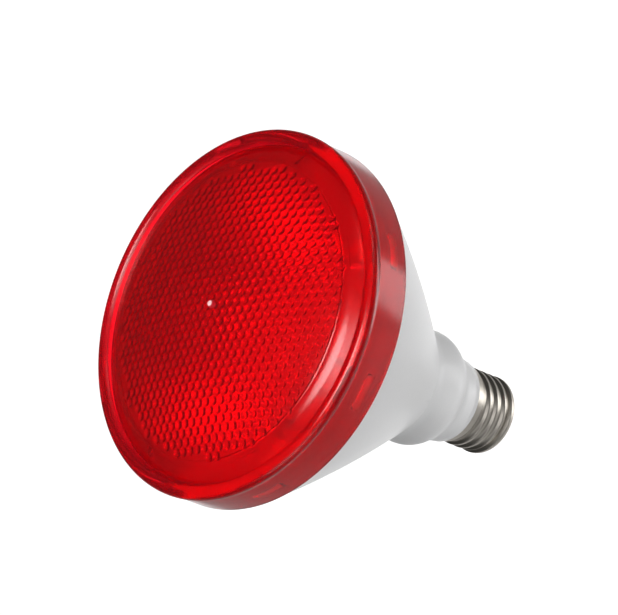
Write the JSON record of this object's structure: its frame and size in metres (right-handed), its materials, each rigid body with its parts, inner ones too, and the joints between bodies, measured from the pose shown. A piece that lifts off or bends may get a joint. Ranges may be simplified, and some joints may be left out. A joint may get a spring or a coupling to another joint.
{
  "type": "led reflector lamp",
  "caption": "Reflector lamp with a clear red domed lens of small pillow cells, a white conical housing with a stepped neck, and a threaded metal screw cap.",
  "frame": {"origin": "on the lamp's axis, at the plane where the white collar ends and the plain wall of the screw shell begins", "axes": "+Z along the lamp's axis, from the screw cap to the lens; +X through one of the lens's snap hooks"},
  "size_m": [0.1216, 0.1216, 0.1368],
  "materials": {
    "red_polycarbonate": "clear red moulding, polished, pillow cells on the front face",
    "white_silicone": "soft, matt, slightly milky",
    "white_plastic": "smooth moulded white, slight gloss",
    "aluminium": "pressed and bright",
    "grey_silicone": "soft, matt",
    "white_board": "aluminium core with white solder mask",
    "phosphor": "yellow phosphor in a white frame",
    "steel": "plain zinc-plated",
    "pale_plastic": "moulded, matt",
    "red_insulation": "smooth insulation",
    "black_insulation": "smooth insulation",
    "green_board": "glass-fibre board with green solder mask",
    "ferrite": "sintered, matt, with a taped winding",
    "black_sleeve": "shrunk sleeve",
    "black_epoxy": "moulded epoxy",
    "blue_lacquer": "lacquered",
    "nickel": "bright nickel plate on brass sheet",
    "black_glass": "glassy black insulator"
  },
  "bodies": {
    "root": {"lens": "red_polycarbonate", "seal_ring": "white_silicone", "housing": "white_plastic", "heat_sink_cup": "aluminium", "thermal_pad": "grey_silicone", "led_board": "white_board", "led_chips": "phosphor", "board_screws": "steel", "lead_terminal": "pale_plastic", "positive_lead": "red_insulation", "negative_lead": "black_insulation", "driver_board": "green_board", "transformer": "ferrite", "input_capacitor": "black_sleeve", "output_capacitor": "black_sleeve", "filter_choke": "ferrite", "bridge_rectifier": "black_epoxy", "driver_chip": "black_epoxy", "fusible_resistor": "blue_lacquer", "live_lead": "red_insulation", "neutral_lead": "black_insulation", "screw_shell": "nickel", "cap_insulator": "black_glass", "centre_contact": "nickel"}
  },
  "joints": []
}
